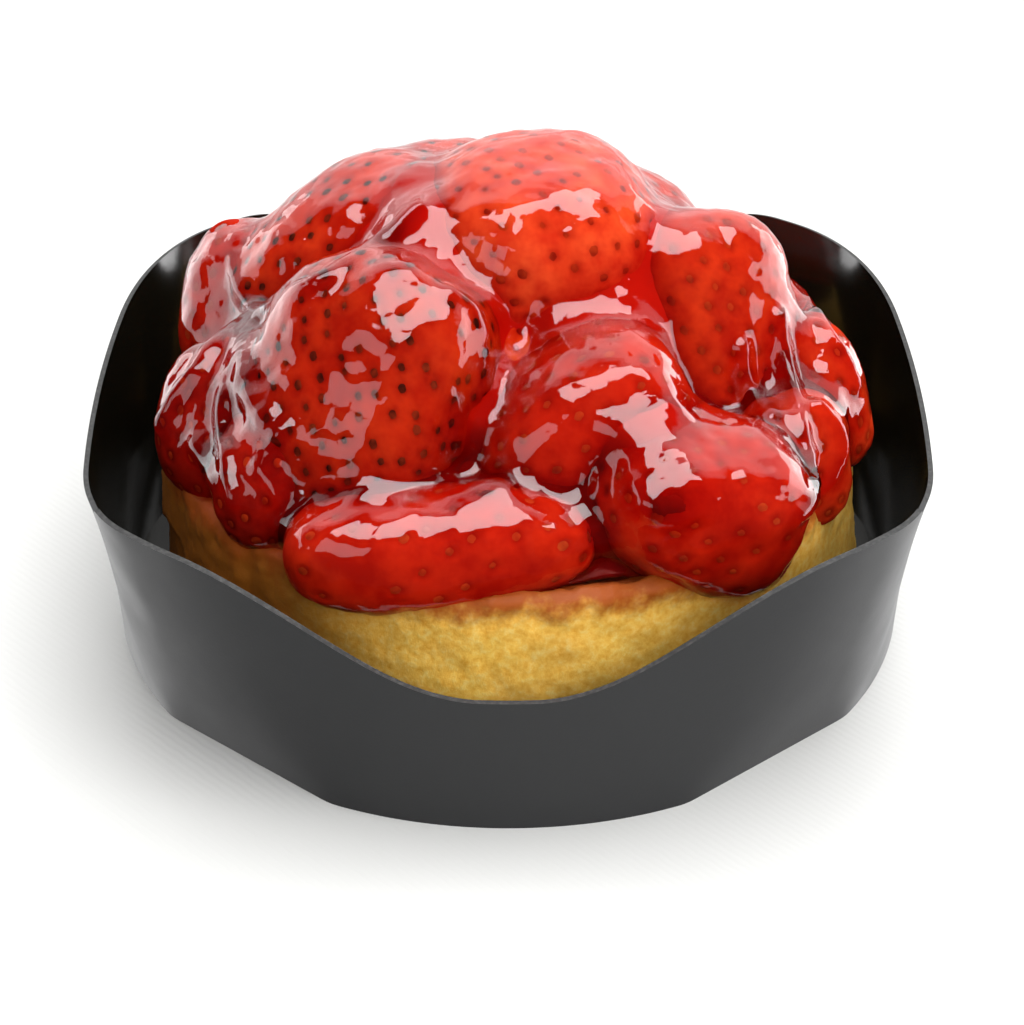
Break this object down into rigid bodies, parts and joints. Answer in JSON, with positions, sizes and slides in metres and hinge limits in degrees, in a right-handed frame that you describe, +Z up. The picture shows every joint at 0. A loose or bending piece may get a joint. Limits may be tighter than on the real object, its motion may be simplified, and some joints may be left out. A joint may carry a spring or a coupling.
{
  "type": "strawberry tart",
  "caption": "Small round tart heaped with glazed whole strawberries, standing in a folded black card case that dips at the front and back.",
  "frame": {"origin": "middle of the underside of the card case", "axes": "+Z up, -Y towards the front of the tart, where the case wall dips lowest, and +X to the right seen from the front"},
  "size_m": [0.1008, 0.1046, 0.0602],
  "materials": {
    "black_card": "black coated card, satin outside and glossy inside, with a pale cut edge",
    "baked_dough": "golden baked dough with fine pores and a browned rim",
    "strawberry": "ripe red strawberry with dark seeds under clear glossy glaze",
    "set_jelly": "dark red translucent set jelly, wet gloss"
  },
  "bodies": {
    "root": {"card_case": "black_card", "tart_base": "baked_dough", "strawberry_crown": "strawberry", "strawberry_front_left_large": "strawberry", "strawberry_front_middle": "strawberry", "strawberry_front_right": "strawberry", "strawberry_front_low": "strawberry", "strawberry_right_upright": "strawberry", "strawberry_upper_left": "strawberry", "strawberry_left_low": "strawberry", "strawberry_left_small": "strawberry", "strawberry_right_slim": "strawberry", "strawberry_right_small": "strawberry", "strawberry_middle_small": "strawberry", "strawberry_left_back": "strawberry", "strawberry_back_left_high": "strawberry", "strawberry_back_right_high": "strawberry", "strawberry_right_back": "strawberry", "strawberry_back_left_low": "strawberry", "strawberry_back_low": "strawberry", "strawberry_back_right_low": "strawberry", "set_jelly": "set_jelly"}
  },
  "joints": []
}
